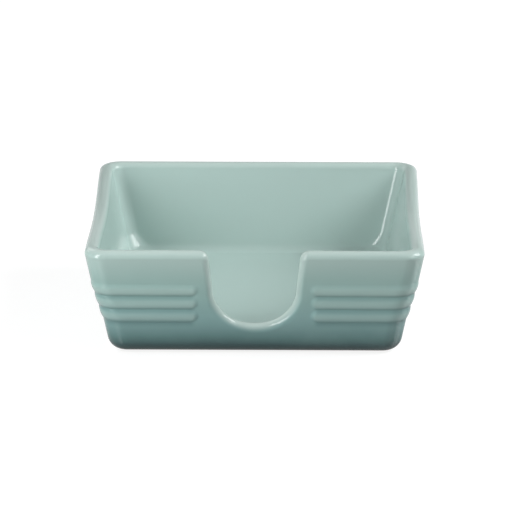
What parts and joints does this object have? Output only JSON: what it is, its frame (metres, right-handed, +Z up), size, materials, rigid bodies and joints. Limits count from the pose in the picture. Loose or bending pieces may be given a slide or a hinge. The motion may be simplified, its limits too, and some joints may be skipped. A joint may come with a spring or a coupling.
{
  "type": "napkin holder",
  "caption": "Low square glazed stoneware tray for folded cocktail napkins, with drafted ringed walls, a rounded lip and a finger notch in front, standing on soft pads.",
  "frame": {"origin": "on the table, under the middle of the holder", "axes": "+Z up, -Y towards the front wall with the finger notch, +X to the right seen from the front"},
  "size_m": [0.1646, 0.1646, 0.0555],
  "materials": {
    "glazed_stoneware": "gloss",
    "soft_pad": "matte"
  },
  "bodies": {
    "root": {"stoneware_body": "glazed_stoneware", "foot_pad_front_left": "soft_pad", "foot_pad_front_right": "soft_pad", "foot_pad_rear_left": "soft_pad", "foot_pad_rear_right": "soft_pad"}
  },
  "joints": []
}
